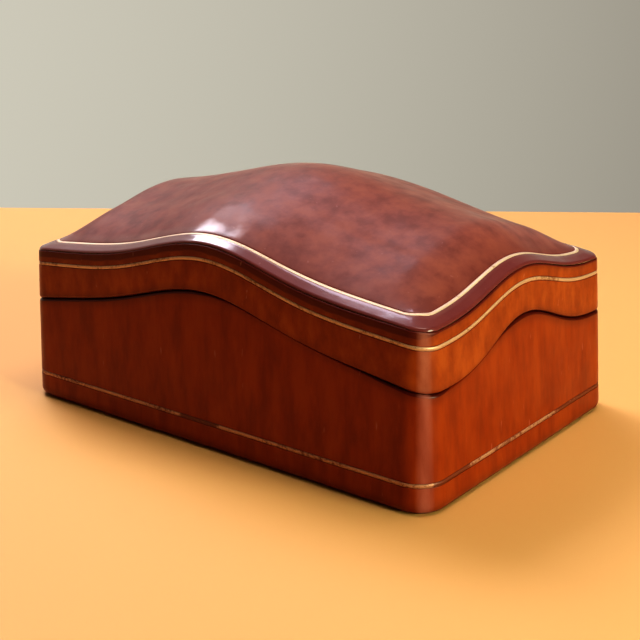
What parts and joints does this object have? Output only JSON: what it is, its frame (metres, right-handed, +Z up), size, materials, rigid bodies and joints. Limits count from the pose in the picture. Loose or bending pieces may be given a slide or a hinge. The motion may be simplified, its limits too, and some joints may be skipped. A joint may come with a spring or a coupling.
{
  "type": "stationery box",
  "caption": "Oblong leather-covered box for writing paper with rounded corners, a wavy parting line and an undulating lift-off lid.",
  "frame": {"origin": "middle of the underside, on the surface the box stands on", "axes": "+Z up, +X along the long side, front long side at -Y"},
  "size_m": [0.2496, 0.1616, 0.1211],
  "materials": {
    "burgundy_leather": "polished, mottled, burgundy at the rim and red-brown in the middle",
    "cognac_leather": "polished calf, hand-stained cognac, darker at the edges",
    "gilt": "worn gold leaf tooled into the leather",
    "board": "planed lime wood",
    "lined_board": "thin board stained red-brown",
    "suede_lining": "tan suede cloth",
    "baize": "dark brown baize"
  },
  "bodies": {
    "base": {"base_front_board": "board", "base_back_board": "board", "base_left_board": "board", "base_right_board": "board", "base_bottom_board": "board", "base_front_inner_wall": "lined_board", "base_back_inner_wall": "lined_board", "base_left_inner_wall": "lined_board", "base_right_inner_wall": "lined_board", "base_floor_pad": "suede_lining", "base_leather": "cognac_leather", "base_underside_panel": "baize", "base_gilt_line": "gilt"},
    "lid": {"lid_top_board": "board", "lid_front_rail": "board", "lid_back_rail": "board", "lid_left_rail": "board", "lid_right_rail": "board", "lid_top_leather": "burgundy_leather", "lid_side_leather": "cognac_leather", "lid_ceiling_lining": "suede_lining", "lid_front_lining": "suede_lining", "lid_back_lining": "suede_lining", "lid_left_lining": "suede_lining", "lid_right_lining": "suede_lining", "lid_side_gilt_line": "gilt", "lid_top_gilt_line": "gilt"}
  },
  "joints": [
    {"name": "lid_lift", "type": "slide", "parent": "base", "child": "lid", "axis": [0, 0, 1], "range_m": [0, 0.1]}
  ]
}
